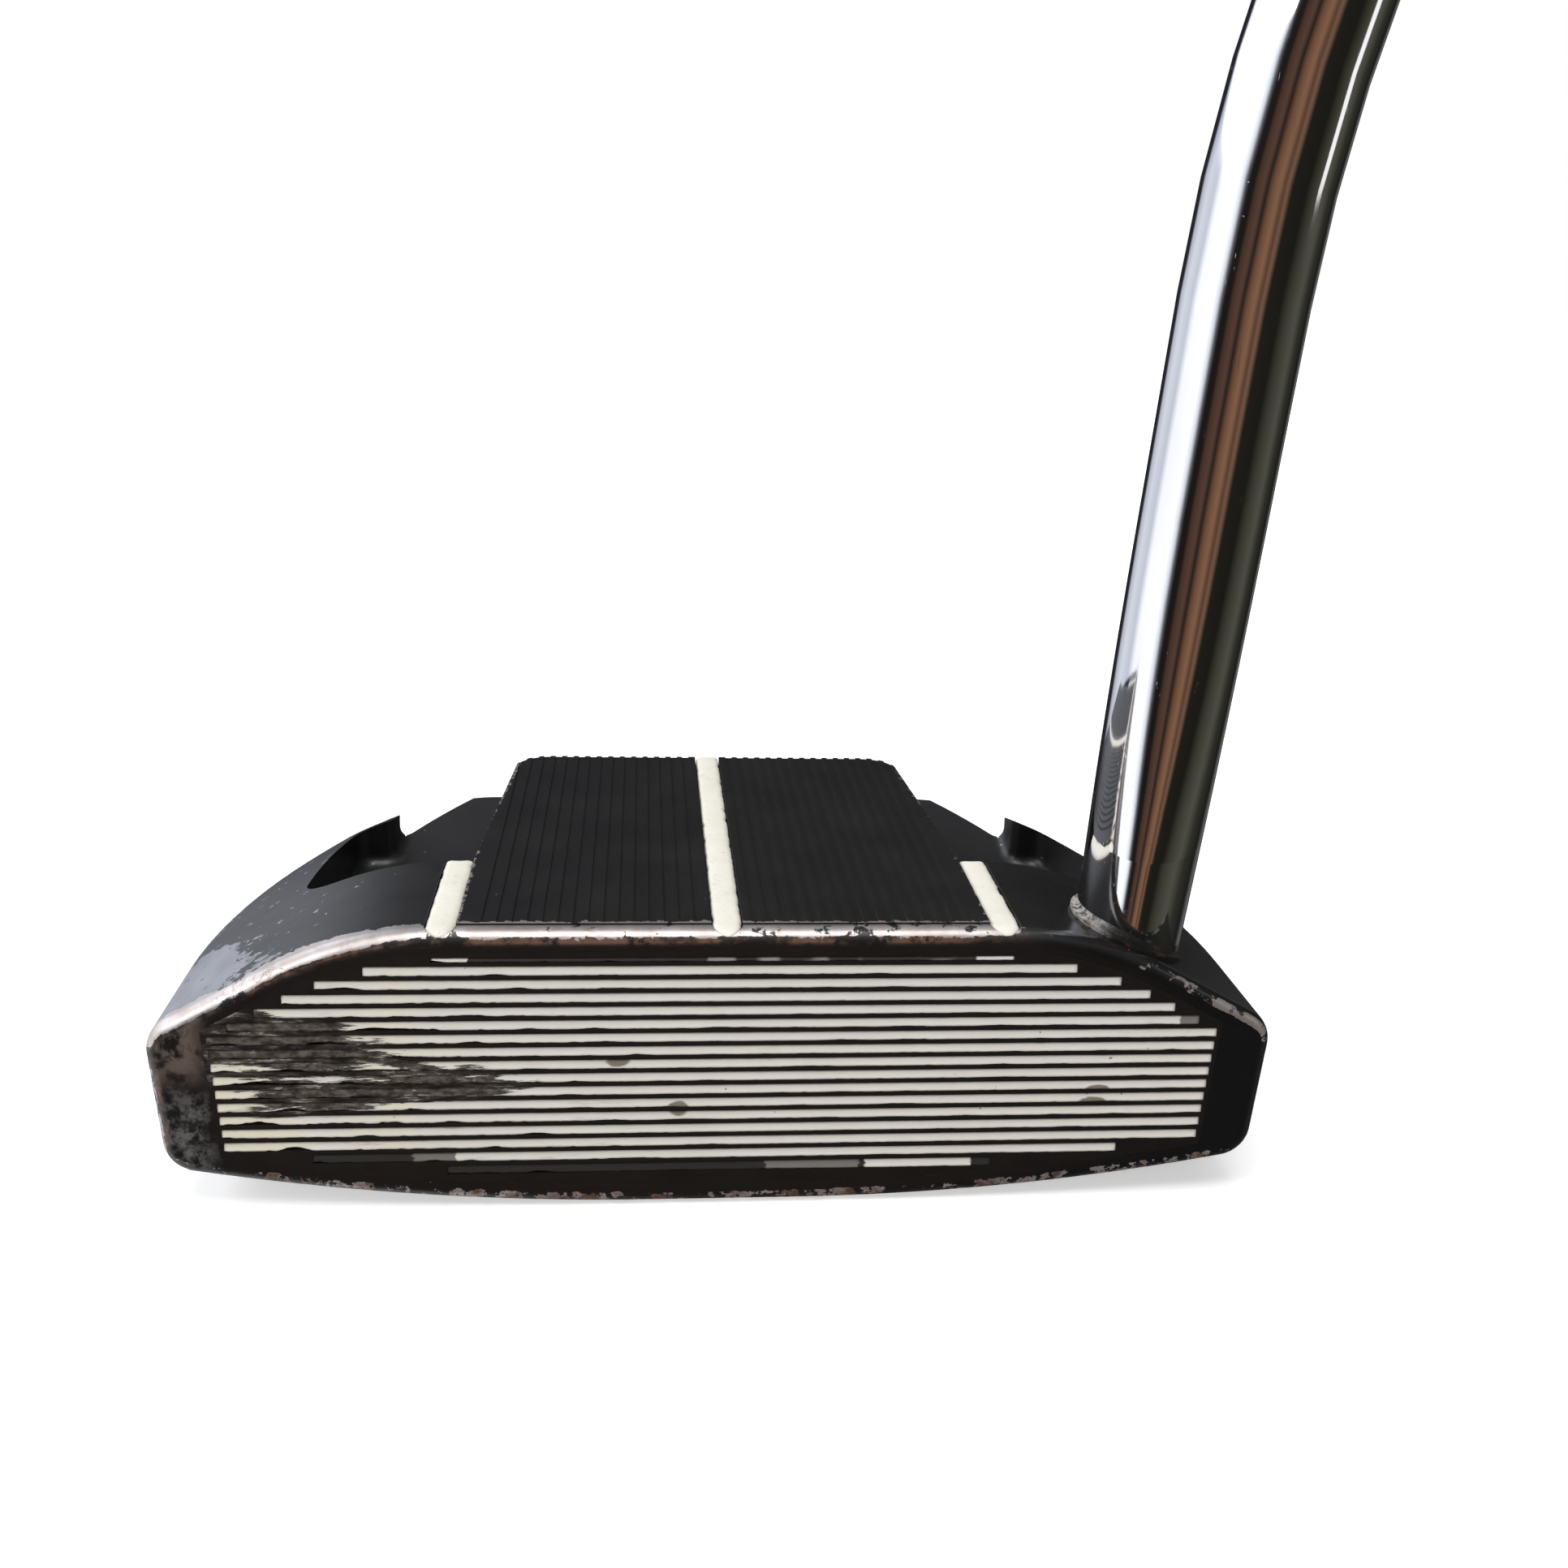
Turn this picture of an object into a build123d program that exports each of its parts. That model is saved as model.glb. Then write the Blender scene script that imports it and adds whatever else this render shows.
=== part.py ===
"""Mallet putter: black cast head with a grooved face insert, a double-bend steel shaft and a rubber grip.

Millimetres, right-handed. The origin is on the sole, in the middle of its flat strip under the front bar. +Z is up
at address, the face looks along -Y, the toe is at -X and the heel, with the shaft, at +X.
"""

import os
from math import cos, pi, radians, sin, sqrt, tan

from build123d import *

# ---- driving dimensions: head ---------------------------------------------------------------------------------
FACE_Y = -10.0             # the face at mid height; depths below are measured from here
LOFT_DEG = 3.0
HEAD_HEIGHT = 25.1
SHOULDER_X = 47.6          # where the sloping top would meet the side
SHOULDER_Z = 16.2
SIDE_LEAN_DEG = 5.0        # the sides lean in towards the sole
TOP_FLAT_HALF = 23.4       # half width of the level part of the top
TOP_ARC_RADIUS = 30.0
SOLE_FLAT_HALF = 6.0
SOLE_ARC_RADIUS = 214.0
FACE_EDGE_RADIUS = 1.4
SOLE_EDGE_RADIUS = 3.0     # rounds the flanks and the back into the sole
SOLE_EDGE_TOP = 4.5        # the edges round the sole are below this
CROWN_RADIUS = 3.0         # rounds the sides into the sloping top
CROWN_BELOW = 0.7          # the crown's edges stay less than this under the shoulder
FLANK_HALF = 43.0          # edges wider than this are on the flanks
TIP_DEPTH = 39.0           # edges behind this and wider than the next are on the wing tips
TIP_HALF = 33.5
WING_TIP_RADIUS = 3.2
WING_ROOT_RADIUS = 1.2     # where the wings run into the round back

BAR_DEPTH = 16.8           # front bar, face to pocket
WING_ARC_DEPTH = 12.0      # where the sides begin to curve in
WING_ARC_RADIUS = 52.2
WING_DEPTH = 41.4
BACK_RADIUS = 41.3
BACK_CENTRE_DEPTH = 17.2
WING_DROP_RADIUS = 120.0   # the wing tops curve down behind the bar
WING_DROP_DEPTH = 14.0
WING_DROP_TURN_DEG = 30.0

PLATEAU_STEP = 0.15        # the plateau stands this much above the bar
PLATEAU_FRONT_DEPTH = 2.2
PLATEAU_DEPTH = 47.6
PLATEAU_HALF_FRONT = 22.2
PLATEAU_HALF_REAR = 20.3
PLATEAU_CORNER = 3.5
PLATEAU_DRAFT_DEG = 8.0

POCKET_FLOOR = 14.0
POCKET_FLOOR_RADIUS = 96.0
POCKET_HALF = 37.9
POCKET_REAR_HALF = 36.2
POCKET_HOOK_DEPTH = 38.6   # inner side of the hooked wing tips
POCKET_MOUTH_HALF = 32.8
POCKET_FLOOR_FILLET = 1.2
POCKET_INNER_HALF = 14.3   # the pocket runs in under the plateau's edge
POCKET_FRONT_CORNER = 3.5
POCKET_REAR_CORNER = 1.8
POCKET_TIP_CORNER = 1.2
PLATEAU_ROOT = 3.0         # the plateau goes this far below the pocket floor

CAVITY_FRONT_DEPTH = 20.0  # weight-saving recess in the sole
CAVITY_REAR_DEPTH = 53.0
CAVITY_HALF = 35.0
CAVITY_HEIGHT = 9.8
CAVITY_CORE_HALF = 18.5    # deeper part under the plateau
CAVITY_CORE_DEPTH = 23.0
CAVITY_CORE_HEIGHT = 20.5
CAVITY_CORNER = 4.0
CAVITY_TOP_FILLET = 2.0

# ---- driving dimensions: face insert and grooves --------------------------------------------------------------
INSERT_TOP_MARGIN = 1.95   # insert edge to head outline
INSERT_SIDE_MARGIN = 5.0
INSERT_SOLE_MARGIN = 2.3
INSERT_THICKNESS = 2.6
ADHESIVE = 0.15
GROOVE_PITCH = 1.2
GROOVE_HEIGHT = 0.84
GROOVE_DEPTH = 1.0
FULL_GROOVES = 16
GROOVE_TOP = 22.2          # upper edge of the first full groove
NARROW_GROOVE_TOP = 22.95
NARROW_GROOVE_HEIGHT = 0.4
NARROW_GROOVE_HALF = 24.2
GROOVE_TOP_MARGIN = 2.2    # groove corners to head outline
GROOVE_SOLE_MARGIN = 2.65
GROOVE_SIDE_MARGIN = 5.2
FILL_RECESS = 0.04         # the filling stops just short of the face

# ---- driving dimensions: alignment lines and milled flutes ----------------------------------------------------
LINE_WIDTH = 2.6
LINE_DEPTH = 0.8
LINE_FRONT_DEPTH = 0.9
SIDE_LINE_X = 23.5
FLUTE_PITCH = 1.25
FLUTE_WIDTH = 0.7
FLUTE_DEPTH = 0.12
FLUTES_PER_SIDE = 15
FIRST_FLUTE_X = 2.4
FLUTE_FRONT_DEPTH = 2.5

# ---- driving dimensions: shaft and grip -----------------------------------------------------------------------
TIP_RADIUS = 4.7
BUTT_RADIUS = 7.35
SHAFT_WALL = 0.6
BORE_DEPTH = 11.0
BOND_GAP = 0.08
BEAD_WIDTH = 0.45
BEAD_HEIGHT = 0.4
BEAD_REACH = 5.5
SHAFT_ENTRY = Vector(36.0, FACE_Y + 7.8, HEAD_HEIGHT - 2.8)
LOWER_BEND = Vector(33.45, FACE_Y - 3.2, HEAD_HEIGHT + 21.4)
UPPER_BEND = Vector(36.4, FACE_Y - 3.65, HEAD_HEIGHT + 66.1)
LOWER_BEND_RADIUS = 60.5
UPPER_BEND_RADIUS = 114.0
LEAN_DEG = 19.0            # upper shaft from vertical, towards the heel
CLUB_LENGTH = 864.0        # 34 inches, along the shaft
FIRST_STEP = 150.0         # upper bend to the first step
STEP_COUNT = 12
STEP_LENGTH = 28.0
STEP_TAPER = 0.4
GRIP_LENGTH = 267.0
GRIP_TAPE = 0.2
GRIP_LOW_SIZE = 10.8       # half depth of the grip at its mouth
GRIP_MIDDLE_SIZE = 12.6
GRIP_BUTT_SIZE = 15.5
GRIP_MIDDLE_SHARE = 0.55   # where the middle section lies along the grip
GRIP_BACK_RADIUS = 0.8     # the grip section's parts, as shares of its size
GRIP_SIDE_RADIUS = 0.88
GRIP_SIDE_SHIFT = 0.12
GRIP_EDGE_RADIUS = 0.2
GRIP_EDGE_X = 0.62
GRIP_EDGE_Y = 0.68
TAPE_INSET = 3.0
CAP_THICKNESS = 4.0
CAP_PLUG_LENGTH = 10.0
CAP_EDGE_RADIUS = 1.5
VENT_RADIUS = 1.5

# ---- worked-out values ----------------------------------------------------------------------------------------
TOP_SLOPE_RUN = SHOULDER_X - TOP_FLAT_HALF
CLEAR = 1.0                # cutters start and end this far outside the metal
WIDE_CLEAR = 20.0
ROOF_REACH = 60.0          # half width of the profile that trims the head
BODY_CUT_LENGTH = 90.0
BLANK_FRONT = 8.0          # the blank starts this far before the face, which is then cut
HALVINGS = 60
TOUCHING = 0.1
SHAFT_UP = Vector(sin(radians(LEAN_DEG)), 0, cos(radians(LEAN_DEG)))
BORE_DOWN = (SHAFT_ENTRY - LOWER_BEND).normalized()
BORE_BOTTOM = SHAFT_ENTRY + BORE_DOWN * BORE_DEPTH
BORE_PLANE = Plane(origin=BORE_BOTTOM, z_dir=-BORE_DOWN)
BORE_CUT_LENGTH = BORE_DEPTH + 12 * CLEAR
ALIGNMENT_LINES = {
    "alignment_line_toe": (-SIDE_LINE_X, BAR_DEPTH),
    "alignment_line_centre": (0, PLATEAU_DEPTH),
    "alignment_line_heel": (SIDE_LINE_X, BAR_DEPTH),
}
FACE = Plane(
    origin=(0, FACE_Y - HEAD_HEIGHT / 2 * tan(radians(LOFT_DEG)), 0),
    x_dir=(1, 0, 0),
    z_dir=(0, -cos(radians(LOFT_DEG)), sin(radians(LOFT_DEG))),
)


def slope_angle():
    """Angle of the sloping top, so that arc and slope together reach the shoulder."""
    low, high = 0.0, pi / 2
    for _ in range(HALVINGS):
        angle = (low + high) / 2
        arc_x = TOP_ARC_RADIUS * sin(angle)
        drop = TOP_ARC_RADIUS * (1 - cos(angle)) + (TOP_SLOPE_RUN - arc_x) * tan(angle)
        if drop < HEAD_HEIGHT - SHOULDER_Z:
            low = angle
        else:
            high = angle
    return low


SLOPE = slope_angle()


def top_half_width(z, margin):
    """Half width at height z of the line that runs margin under the top's outline."""
    radius = TOP_ARC_RADIUS - margin
    drop = max(HEAD_HEIGHT - margin - z, 0)
    arc_drop = radius * (1 - cos(SLOPE))
    if drop > arc_drop:
        return TOP_FLAT_HALF + radius * sin(SLOPE) + (drop - arc_drop) / tan(SLOPE)
    return TOP_FLAT_HALF + sqrt(radius**2 - (radius - drop) ** 2)


def sole_half_width(z, margin):
    """Half width at height z of the line that runs margin above the sole's outline."""
    radius = SOLE_ARC_RADIUS - margin
    return SOLE_FLAT_HALF + sqrt(max(radius**2 - (SOLE_ARC_RADIUS - z) ** 2, 0))


def side_half_width(z, margin):
    """Half width at height z of the line that runs margin inside the leaning side."""
    return SHOULDER_X - margin - (SHOULDER_Z - z) * tan(radians(SIDE_LEAN_DEG))


def meeting_height(low, high, inner, outer):
    """Height between low and high at which two outlines are equally wide; inner is narrower at low."""
    for _ in range(HALVINGS):
        middle = (low + high) / 2
        if inner(middle) < outer(middle):
            low = middle
        else:
            high = middle
    return low


def roof(margin, reach):
    """Half of the arched top, as lines from the middle out to the half width reach."""
    radius = TOP_ARC_RADIUS - margin
    top = HEAD_HEIGHT - margin
    flat = Line((0, top), (TOP_FLAT_HALF, top))
    arc_end = (TOP_FLAT_HALF + radius * sin(SLOPE), top - radius * (1 - cos(SLOPE)))
    arc = TangentArc(flat @ 1, arc_end, tangent=flat % 1)
    slope = Line(arc @ 1, (reach, arc_end[1] - (reach - arc_end[0]) * tan(SLOPE)))
    return slope @ 1


def face_outline(top_margin, side_margin, sole_margin):
    """Closed outline, as lines, that runs inside the head's own outline at the three margins."""
    shoulder = HEAD_HEIGHT - meeting_height(
        0,
        HEAD_HEIGHT,
        lambda drop: top_half_width(HEAD_HEIGHT - drop, top_margin),
        lambda drop: side_half_width(HEAD_HEIGHT - drop, side_margin),
    )
    foot = meeting_height(
        sole_margin,
        HEAD_HEIGHT / 2,
        lambda z: sole_half_width(z, sole_margin),
        lambda z: side_half_width(z, side_margin),
    )
    corner = roof(top_margin, side_half_width(shoulder, side_margin))
    side = Line(corner, (side_half_width(foot, side_margin), foot))
    arc = TangentArc((SOLE_FLAT_HALF, sole_margin), side @ 1, tangent=(1, 0))
    Line(arc @ 0, (0, sole_margin))
    mirror(about=Plane.YZ)


def groove_rows():
    """Upper edge, height and half width of every groove, from the top down."""
    rows = [(NARROW_GROOVE_TOP, NARROW_GROOVE_HEIGHT, NARROW_GROOVE_HALF)]
    for n in range(FULL_GROOVES):
        top = GROOVE_TOP - n * GROOVE_PITCH
        half = min(
            top_half_width(top, GROOVE_TOP_MARGIN),
            side_half_width(top - GROOVE_HEIGHT, GROOVE_SIDE_MARGIN),
            sole_half_width(top - GROOVE_HEIGHT, GROOVE_SOLE_MARGIN),
        )
        rows.append((top, GROOVE_HEIGHT, half))
    return rows


def alignment_outline(line_x, rear_depth):
    """Round-fronted slot of one alignment line, in the current sketch."""
    front_y = FACE_Y + LINE_FRONT_DEPTH + LINE_WIDTH / 2
    with Locations((line_x, front_y)):
        Circle(LINE_WIDTH / 2)
        Rectangle(LINE_WIDTH, FACE_Y + rear_depth - front_y, align=(Align.CENTER, Align.MIN))


def grip_section(size):
    """Flat-fronted grip section, in the current sketch: round at the back, flat where the thumbs rest."""
    edge_x = GRIP_EDGE_X * size
    edge_y = GRIP_EDGE_Y * size
    Circle(GRIP_BACK_RADIUS * size)
    with Locations((-edge_x, edge_y), (edge_x, edge_y)):
        Circle(GRIP_EDGE_RADIUS * size)
    with Locations((0, -GRIP_SIDE_SHIFT * size)):
        Circle(GRIP_SIDE_RADIUS * size)
    make_hull()


def depth_plane(depth):
    """Upright plane that faces the player, depth behind the face."""
    return Plane.XZ.offset(-(FACE_Y + depth))


# ---- cutters: wing pockets and sole cavity --------------------------------------------------------------------
with BuildPart() as pockets:
    with BuildSketch(Plane.XY.offset(SHOULDER_Z / 2)):
        with BuildLine():
            bar_y = FACE_Y + BAR_DEPTH
            hook_y = FACE_Y + POCKET_HOOK_DEPTH
            mouth_y = FACE_Y + PLATEAU_DEPTH + WIDE_CLEAR
            bar_wall = Line((POCKET_INNER_HALF, bar_y), (POCKET_HALF, bar_y))
            wall_end = (POCKET_REAR_HALF, hook_y)
            wall = TangentArc(bar_wall @ 1, wall_end, tangent=(0, 1))
            hook = Line(wall @ 1, (POCKET_MOUTH_HALF, hook_y))
            mouth = Line(hook @ 1, (POCKET_MOUTH_HALF, mouth_y))
            Polyline(mouth @ 1, (POCKET_INNER_HALF, mouth_y), bar_wall @ 0)
        make_face()
        fillet(vertices().sort_by_distance(bar_wall @ 1)[0], POCKET_FRONT_CORNER)
        fillet(vertices().sort_by_distance(wall @ 1)[0], POCKET_REAR_CORNER)
        fillet(vertices().sort_by_distance(hook @ 1)[0], POCKET_TIP_CORNER)
        mirror(about=Plane.YZ)
    extrude(amount=HEAD_HEIGHT)
    with BuildSketch(Plane.YZ):
        with Locations((FACE_Y + BAR_DEPTH + CLEAR, POCKET_FLOOR + POCKET_FLOOR_RADIUS)):
            Circle(POCKET_FLOOR_RADIUS)
    extrude(amount=ROOF_REACH, both=True, mode=Mode.INTERSECT)
    floor_edges = faces().sort_by(Axis.Z)[:2].edges()
    fillet(floor_edges, POCKET_FLOOR_FILLET)

with BuildPart() as sole_cavity:
    with BuildSketch(Plane.XY.offset(-CLEAR)):
        with Locations((0, FACE_Y + BACK_CENTRE_DEPTH)):
            Circle(CAVITY_REAR_DEPTH - BACK_CENTRE_DEPTH)
        with Locations((0, FACE_Y + CAVITY_FRONT_DEPTH)):
            Rectangle(
                2 * CAVITY_HALF, CAVITY_REAR_DEPTH, align=(Align.CENTER, Align.MIN), mode=Mode.INTERSECT
            )
        fillet(vertices(), CAVITY_CORNER)
    extrude(amount=CAVITY_HEIGHT + CLEAR)
    with BuildSketch(Plane.XY):
        with Locations((0, FACE_Y + CAVITY_FRONT_DEPTH)):
            Rectangle(2 * CAVITY_CORE_HALF, CAVITY_CORE_DEPTH, align=(Align.CENTER, Align.MIN))
        fillet(vertices(), CAVITY_CORNER)
    extrude(amount=CAVITY_CORE_HEIGHT)
    fillet(faces().sort_by(Axis.Z)[-1].edges(), CAVITY_TOP_FILLET)

# ---- head body ------------------------------------------------------------------------------------------------
with BuildPart() as head_blank:
    sole_draft = SHOULDER_Z * tan(radians(SIDE_LEAN_DEG))
    side_x = SHOULDER_X - sole_draft
    wing_radius = WING_ARC_RADIUS - sole_draft
    wing_rise = WING_DEPTH - WING_ARC_DEPTH
    wing_tip_x = side_x - wing_radius + sqrt(wing_radius**2 - wing_rise**2)
    with BuildSketch(Plane.XY):
        with BuildLine():
            front = Line((0, FACE_Y - BLANK_FRONT), (side_x, FACE_Y - BLANK_FRONT))
            flank = Line(front @ 1, (side_x, FACE_Y + WING_ARC_DEPTH))
            wing = TangentArc(flank @ 1, (wing_tip_x, FACE_Y + WING_DEPTH), tangent=(0, 1))
            Line(wing @ 1, (0, FACE_Y + WING_DEPTH))
            mirror(about=Plane.YZ)
        make_face()
        with Locations((0, FACE_Y + BACK_CENTRE_DEPTH)):
            Circle(BACK_RADIUS - sole_draft)
        for corner_x in (-wing_tip_x, wing_tip_x):
            wing_tip = vertices().sort_by_distance((corner_x, FACE_Y + WING_DEPTH))[0]
            fillet(wing_tip, WING_TIP_RADIUS)
        root_x = sqrt((BACK_RADIUS - sole_draft) ** 2 - (WING_DEPTH - BACK_CENTRE_DEPTH) ** 2)
        for corner_x in (-root_x, root_x):
            wing_root = vertices().sort_by_distance((corner_x, FACE_Y + WING_DEPTH))[0]
            fillet(wing_root, WING_ROOT_RADIUS)
    extrude(amount=HEAD_HEIGHT, taper=-SIDE_LEAN_DEG)
    with BuildSketch(Plane.XZ):
        with BuildLine():
            roof_end = roof(0, ROOF_REACH)
            sole_rise = SOLE_ARC_RADIUS - sqrt(SOLE_ARC_RADIUS**2 - (ROOF_REACH - SOLE_FLAT_HALF) ** 2)
            sole_end = (ROOF_REACH, sole_rise)
            Line(roof_end, sole_end)
            sole_arc = TangentArc((SOLE_FLAT_HALF, 0), sole_end, tangent=(1, 0))
            Line(sole_arc @ 0, (0, 0))
            mirror(about=Plane.YZ)
        make_face()
    extrude(amount=BODY_CUT_LENGTH, both=True, mode=Mode.INTERSECT)
    # the wings drop behind the bar
    drop_axis = Axis((0, FACE_Y + WING_DROP_DEPTH, HEAD_HEIGHT - WING_DROP_RADIUS), (-1, 0, 0))
    with BuildSketch(depth_plane(WING_DROP_DEPTH)):
        with BuildLine():
            roof_end = roof(0, ROOF_REACH)
            above = HEAD_HEIGHT + WIDE_CLEAR
            Polyline(roof_end, (ROOF_REACH, above), (0, above))
            mirror(about=Plane.YZ)
        make_face()
    revolve(axis=drop_axis, revolution_arc=WING_DROP_TURN_DEG, mode=Mode.SUBTRACT)
    split(bisect_by=FACE, keep=Keep.BOTTOM)
    side_edges = edges().filter_by(lambda e: e.center().Y > FACE_Y + FACE_EDGE_RADIUS)
    crown_edges = side_edges.filter_by(lambda e: e.center().Z > SHOULDER_Z - CROWN_BELOW)
    flank_crown = crown_edges.filter_by(lambda e: abs(e.center().X) > FLANK_HALF)
    tip_crown = crown_edges.filter_by(lambda e: TIP_HALF < abs(e.center().X) < FLANK_HALF)
    fillet(flank_crown + tip_crown.filter_by(lambda e: e.center().Y > FACE_Y + TIP_DEPTH), CROWN_RADIUS)
    # every edge round the sole but the front one; the two seams beside its flat strip stay
    side_edges = edges().filter_by(lambda e: e.center().Y > FACE_Y + FACE_EDGE_RADIUS)
    sole_edges = side_edges.filter_by(lambda e: e.center().Z < SOLE_EDGE_TOP)
    sole_rim = sole_edges.filter_by(lambda e: abs(abs(e.center().X) - SOLE_FLAT_HALF) > TOUCHING)
    fillet(sole_rim, SOLE_EDGE_RADIUS)
    fillet(faces().sort_by(Axis.Y)[0].edges(), FACE_EDGE_RADIUS)
    add(pockets.part, mode=Mode.SUBTRACT)
    # plateau
    with BuildSketch(Plane.XY.offset(HEAD_HEIGHT + PLATEAU_STEP)):
        with BuildLine():
            plateau_front = FACE_Y + PLATEAU_FRONT_DEPTH
            plateau_rear = FACE_Y + PLATEAU_DEPTH
            edge_one = Line((0, plateau_front), (PLATEAU_HALF_FRONT, plateau_front))
            edge_two = Line(edge_one @ 1, (PLATEAU_HALF_FRONT, FACE_Y + BAR_DEPTH))
            edge_three = Line(edge_two @ 1, (PLATEAU_HALF_REAR, plateau_rear))
            Line(edge_three @ 1, (0, plateau_rear))
            mirror(about=Plane.YZ)
        make_face()
        fillet(vertices().sort_by(Axis.Y)[-2:], PLATEAU_CORNER)
    extrude(amount=-(HEAD_HEIGHT - POCKET_FLOOR + PLATEAU_ROOT), taper=-PLATEAU_DRAFT_DEG)
    add(sole_cavity.part, mode=Mode.SUBTRACT)


with BuildPart() as head_body:
    add(head_blank.part)
    # recess for the insert, and the shaft bore
    with BuildSketch(FACE):
        with BuildLine():
            face_outline(
                INSERT_TOP_MARGIN - ADHESIVE, INSERT_SIDE_MARGIN - ADHESIVE, INSERT_SOLE_MARGIN - ADHESIVE
            )
        make_face()
    extrude(amount=-(INSERT_THICKNESS + ADHESIVE), mode=Mode.SUBTRACT)
    with BuildSketch(BORE_PLANE):
        Circle(TIP_RADIUS + BOND_GAP)
    extrude(amount=BORE_CUT_LENGTH, mode=Mode.SUBTRACT)
    # grooves for the alignment lines, which run out behind
    with BuildSketch(Plane.XY.offset(HEAD_HEIGHT + CLEAR)):
        for line_x, rear_depth in ALIGNMENT_LINES.values():
            alignment_outline(line_x, rear_depth + CLEAR)
    extrude(amount=-(LINE_DEPTH + CLEAR), mode=Mode.SUBTRACT)
    # milled flutes on the plateau
    flute_length = PLATEAU_DEPTH + 2 * CLEAR - FLUTE_FRONT_DEPTH
    flutes_x = [FIRST_FLUTE_X + n * FLUTE_PITCH for n in range(FLUTES_PER_SIDE)]
    with BuildSketch(Plane.XY.offset(HEAD_HEIGHT + CLEAR)):
        with Locations([(side * x, FACE_Y + FLUTE_FRONT_DEPTH) for side in (-1, 1) for x in flutes_x]):
            Rectangle(FLUTE_WIDTH, flute_length, align=(Align.CENTER, Align.MIN))
    extrude(amount=-(CLEAR - PLATEAU_STEP + FLUTE_DEPTH), mode=Mode.SUBTRACT)

# ---- face insert, its bond and the groove fillings ------------------------------------------------------------
with BuildPart() as insert_adhesive:
    with BuildSketch(FACE):
        with BuildLine():
            face_outline(
                INSERT_TOP_MARGIN - ADHESIVE, INSERT_SIDE_MARGIN - ADHESIVE, INSERT_SOLE_MARGIN - ADHESIVE
            )
        make_face()
    extrude(amount=-(INSERT_THICKNESS + ADHESIVE))
    with BuildSketch(FACE):
        with BuildLine():
            face_outline(INSERT_TOP_MARGIN, INSERT_SIDE_MARGIN, INSERT_SOLE_MARGIN)
        make_face()
    extrude(amount=-INSERT_THICKNESS, mode=Mode.SUBTRACT)

GROOVES = groove_rows()
with BuildPart() as face_insert:
    with BuildSketch(FACE):
        with BuildLine():
            face_outline(INSERT_TOP_MARGIN, INSERT_SIDE_MARGIN, INSERT_SOLE_MARGIN)
        make_face()
    extrude(amount=-INSERT_THICKNESS)
    with BuildSketch(FACE):
        for top, height, half in GROOVES:
            with Locations((0, top - height / 2)):
                Rectangle(2 * half, height)
    extrude(amount=-GROOVE_DEPTH, mode=Mode.SUBTRACT)


def groove_fill(top, height, half):
    """One polymer strip that fills a groove of the insert."""
    with BuildPart() as strip:
        with BuildSketch(FACE.offset(-FILL_RECESS)):
            with Locations((0, top - height / 2)):
                Rectangle(2 * half, height)
        extrude(amount=-(GROOVE_DEPTH - FILL_RECESS))
    return strip.part


def alignment_line(line_x, rear_depth):
    """Cream paint that fills one alignment groove, flush with the metal around it."""
    with BuildPart() as line:
        with BuildSketch(Plane.XY.offset(HEAD_HEIGHT + CLEAR)):
            alignment_outline(line_x, rear_depth)
        extrude(amount=-(LINE_DEPTH + CLEAR))
        add(head_blank.part, mode=Mode.INTERSECT)
    return line.part


# ---- shaft ----------------------------------------------------------------------------------------------------
STEP_START = UPPER_BEND + SHAFT_UP * FIRST_STEP
BUTT = UPPER_BEND + SHAFT_UP * (CLUB_LENGTH - CAP_THICKNESS - UPPER_BEND.dot(SHAFT_UP))
BUTT_RUN = (BUTT - STEP_START).length
GRIP_START = BUTT - SHAFT_UP * (GRIP_LENGTH - CAP_THICKNESS)
SHAFT_SIDE = Plane(
    origin=STEP_START, x_dir=(cos(radians(LEAN_DEG)), 0, -sin(radians(LEAN_DEG))), z_dir=(0, -1, 0)
)

with BuildPart() as shaft:
    with BuildLine():
        FilletPolyline(
            BORE_BOTTOM, LOWER_BEND, UPPER_BEND, STEP_START, radius=(LOWER_BEND_RADIUS, UPPER_BEND_RADIUS)
        )
    with BuildSketch(BORE_PLANE):
        Circle(TIP_RADIUS)
        Circle(TIP_RADIUS - SHAFT_WALL, mode=Mode.SUBTRACT)
    sweep()
    with BuildSketch(SHAFT_SIDE):
        with BuildLine():
            step_rise = (BUTT_RADIUS - TIP_RADIUS) / STEP_COUNT
            outer = [(TIP_RADIUS, 0)]
            for step in range(STEP_COUNT):
                along = (step + 1) * STEP_LENGTH
                outer.append((TIP_RADIUS + step * step_rise, along - STEP_TAPER))
                outer.append((TIP_RADIUS + (step + 1) * step_rise, along))
            outer.append((BUTT_RADIUS, BUTT_RUN))
            inner_x = BUTT_RADIUS - SHAFT_WALL
            inner = [(inner_x, BUTT_RUN), (inner_x, STEP_COUNT * STEP_LENGTH), (TIP_RADIUS - SHAFT_WALL, 0)]
            Polyline(*outer, *inner, close=True)
        make_face()
    revolve(axis=Axis(STEP_START, SHAFT_UP))

with BuildPart() as bead_limit:
    with BuildSketch(Plane.XZ):
        with BuildLine():
            face_outline(-BEAD_HEIGHT, 0, 0)
        make_face()
    extrude(amount=BODY_CUT_LENGTH, both=True)

with BuildPart() as bore_lining:
    with BuildSketch(BORE_PLANE):
        Circle(TIP_RADIUS + BOND_GAP)
    extrude(amount=BORE_CUT_LENGTH)
    add(bead_limit.part, mode=Mode.INTERSECT)

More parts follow.
